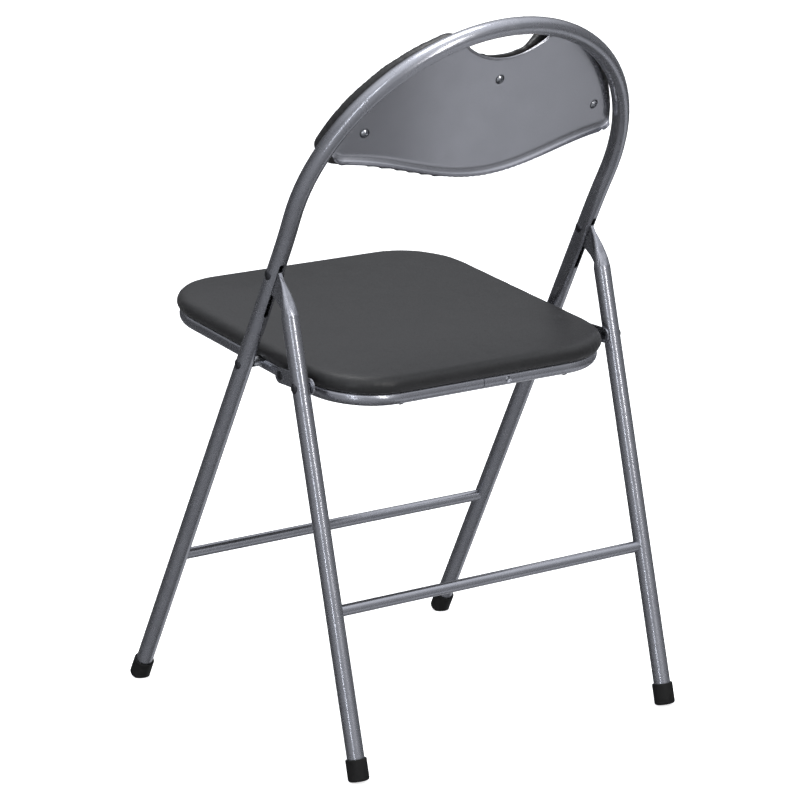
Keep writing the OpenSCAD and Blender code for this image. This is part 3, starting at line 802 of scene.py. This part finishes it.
def make_back_screws():
    """Domed heads with a cross recess, each ringed by a thin dark torus of painted shade where it
    sits in its pressed seat.
    """
    verts, faces, shade_ring_verts, shade_ring_faces = [], [], [], []
    rings, sides = 16, 48
    for n, (u, v) in enumerate(SCREWS_AT):
        u, v = u * MM, v * MM
        at = panel_place(u, v)
        right = (panel_place(u + MM, v) - panel_place(u - MM, v)).normalized()
        up = (panel_place(u, v + MM) - panel_place(u, v - MM)).normalized()
        out = up.cross(right)
        if out.y < 0:
            out = -out
        turn = 0.5 + 1.1 * n
        first = len(verts)
        verts.append(at + out * (HEAD_H - RECESS))
        for i in range(1, rings + 1):
            r = HEAD_R * i / rings
            h = HEAD_H * (1 - (i / rings) ** 2)
            for k in range(sides):
                a = 2 * math.pi * k / sides
                x, y = r * math.cos(a), r * math.sin(a)
                arm = min(abs(x * math.cos(turn) + y * math.sin(turn)),
                          abs(y * math.cos(turn) - x * math.sin(turn)))
                cut = RECESS if arm < RECESS_HALF and r < RECESS_REACH else 0.0
                verts.append(at + right * x + up * y + out * max(h - cut, 0.0))
        for k in range(sides):
            j = (k + 1) % sides
            faces.append((first, first + 1 + k, first + 1 + j))
            for i in range(rings - 1):
                b = first + 1 + i * sides
                faces.append((b + k, b + sides + k, b + sides + j, b + j))
        last = first + 1 + (rings - 1) * sides
        under = len(verts)
        for r, depth in ((HEAD_R, 0.6 * MM), (SHANK_R, 0.6 * MM), (SHANK_R, SHANK_LONG)):
            for k in range(sides):
                a = 2 * math.pi * k / sides
                rim = right * (r * math.cos(a)) + up * (r * math.sin(a))
                verts.append(at + rim - out * depth)
        for k in range(sides):
            j = (k + 1) % sides
            for b, c in ((last, under), (under, under + sides),
                         (under + sides, under + 2 * sides)):
                faces.append((b + k, c + k, c + j, b + j))
        faces.append(tuple(under + 2 * sides + k for k in range(sides)))
        # Painted shade: a thin dark ring round the head stands for the shadow in its pressed seat
        ring = [at + right * (5.0 * MM * math.cos(a)) + up * (5.0 * MM * math.sin(a))
                for a in (2 * math.pi * k / 36 for k in range(36))]
        rv, rf = sweep(ring, 0.55 * MM, 8, closed=True)
        shade_ring_faces += [tuple(i + len(shade_ring_verts) for i in f) for f in rf]
        shade_ring_verts += rv
    heads = add_piece("back_screw_heads", verts, faces, STEEL, "back_frame")
    smooth_by_angle(heads, 35)
    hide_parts("back_screws")
    # The dark rings round the heads are painted shade of their pressed seats
    add_piece("screw_shade_rings", shade_ring_verts, shade_ring_faces, RIVET, "back_frame")


# ---------------------------------------------------------------- studio
def make_stage():
    """A pale floor, and a round white wall that only the camera sees, so that
    every view has the same plain ground and the light stays as it is."""
    radius, height, sides = 12.0, 10.0, 96
    ring = [(radius * math.cos(2 * math.pi * i / sides), radius * math.sin(2 * math.pi * i / sides))
            for i in range(sides)]
    below = -0.3 * MM
    mat, tree, bsdf, at = new_material("studio_floor")
    fleck = noise_tex(tree, at, 3.0, 3, 0.5)
    tree.links.new(ramp(tree, fleck, [(0.3, (0.90, 0.90, 0.90)), (0.7, (0.93, 0.93, 0.93))]),
                   bsdf.inputs["Base Color"])
    bsdf.inputs["Roughness"].default_value = 0.9
    bsdf.inputs["Specular IOR Level"].default_value = 0.1
    bsdf.inputs["Emission Color"].default_value = (1.0, 1.0, 1.0, 1.0)
    bsdf.inputs["Emission Strength"].default_value = 0.75
    floor = add_piece("studio_floor", [Vector((x, y, below)) for x, y in ring],
                      [tuple(range(sides))], mat, None)
    floor.visible_glossy = False
    white, tree, bsdf, at = new_material("studio_wall")
    fleck = noise_tex(tree, at, 1.0, 2, 0.5)
    tree.links.new(ramp(tree, fleck, [(0.3, (0.92, 0.92, 0.92)), (0.7, (0.94, 0.94, 0.94))]),
                   bsdf.inputs["Base Color"])
    bsdf.inputs["Emission Color"].default_value = (1.0, 1.0, 1.0, 1.0)
    bsdf.inputs["Emission Strength"].default_value = 1.0
    verts = [Vector((x, y, z)) for z in (below, height) for x, y in ring]
    faces = [(i, (i + 1) % sides, (i + 1) % sides + sides, i + sides) for i in range(sides)]
    wall = add_piece("studio_wall", verts, faces, white, None)
    for light in ("diffuse", "glossy", "shadow", "transmission"):
        setattr(wall, "visible_" + light, False)


def area_light(name, at, target, size, size_y, power, colour=(1, 1, 1)):
    data = bpy.data.lights.new(name, "AREA")
    data.shape = "RECTANGLE"
    data.size = size
    data.size_y = size_y
    data.energy = power
    data.color = colour
    obj = bpy.data.objects.new(name, data)
    obj.location = at
    obj.rotation_euler = (Vector(target) - Vector(at)).to_track_quat("-Z", "Y").to_euler()
    bpy.context.scene.collection.objects.link(obj)
    return obj


def make_world():
    """Soft studio surroundings: brighter on the camera's side, overhead and in the
    floor's far part, and dim behind the chair."""
    world = bpy.data.worlds.new("studio")
    world.use_nodes = True
    tree = world.node_tree
    bg = tree.nodes["Background"]
    coord = tree.nodes.new("ShaderNodeTexCoord")

    def along(axis, lo, hi, dim, lit):
        dot = tree.nodes.new("ShaderNodeVectorMath")
        dot.operation = "DOT_PRODUCT"
        tree.links.new(coord.outputs["Generated"], dot.inputs[0])
        dot.inputs[1].default_value = axis
        return map_range(tree, dot.outputs["Value"], lo, hi, dim, lit)

    toward = Vector((CAMERA_BACK.x, CAMERA_BACK.y, 0)).normalized()
    near = math_node(tree, "MULTIPLY", along((0, 0, 1), -0.8, -0.3, 0.9, 1.0),
                     along(toward, -0.1, 0.9, 0.10, 0.50))
    across = math_node(tree, "MULTIPLY", along((0, 0, 1), -0.35, 0.0, 0.0, 1.0),
                       along(CAMERA_RIGHT.normalized(), -0.3, 0.8, 0.0, 0.16))
    below = math_node(tree, "MULTIPLY", along((0, 0, -1), 0.35, 0.6, 0.0, 1.0),
                      along((0.6, 0, -0.8), 0.325, 0.27, 0.0, 0.52))
    above = along((0, 0, 1), 0.3, 0.9, 0.0, 1.30)
    total = math_node(tree, "ADD", math_node(tree, "ADD", near, across),
                      math_node(tree, "ADD", below, above))
    tree.links.new(total, bg.inputs["Strength"])
    bg.inputs["Color"].default_value = (0.93, 0.95, 1.0, 1.0)
    bpy.context.scene.world = world


def make_lights():
    # The camera stands at +X +Y and looks across the rear left leg
    side = CAMERA_RIGHT.normalized()
    toward = Vector((CAMERA_BACK.x, CAMERA_BACK.y, 0)).normalized()
    mid = Vector((0, 0, 0.45))
    area_light("key", mid + side * 1.5 + toward * 2.0 + Vector((0, 0, 1.1)), mid,
               0.16, 1.6, 16, (1.0, 0.98, 0.96))
    area_light("strip", mid - side * 0.5 + toward * 2.4 + Vector((0, 0, 0.5)), mid,
               0.08, 2.2, 7, (0.92, 0.95, 1.0))
    area_light("top", (0, 0, 2.6), (0, 0, 0.4), 1.0, 1.0, 26)


make_seat_cushion()
make_back_cushion()
make_panel()
make_back_screws()
make_stage()
make_world()
make_lights()
bpy.context.scene.view_settings.view_transform = "Standard"
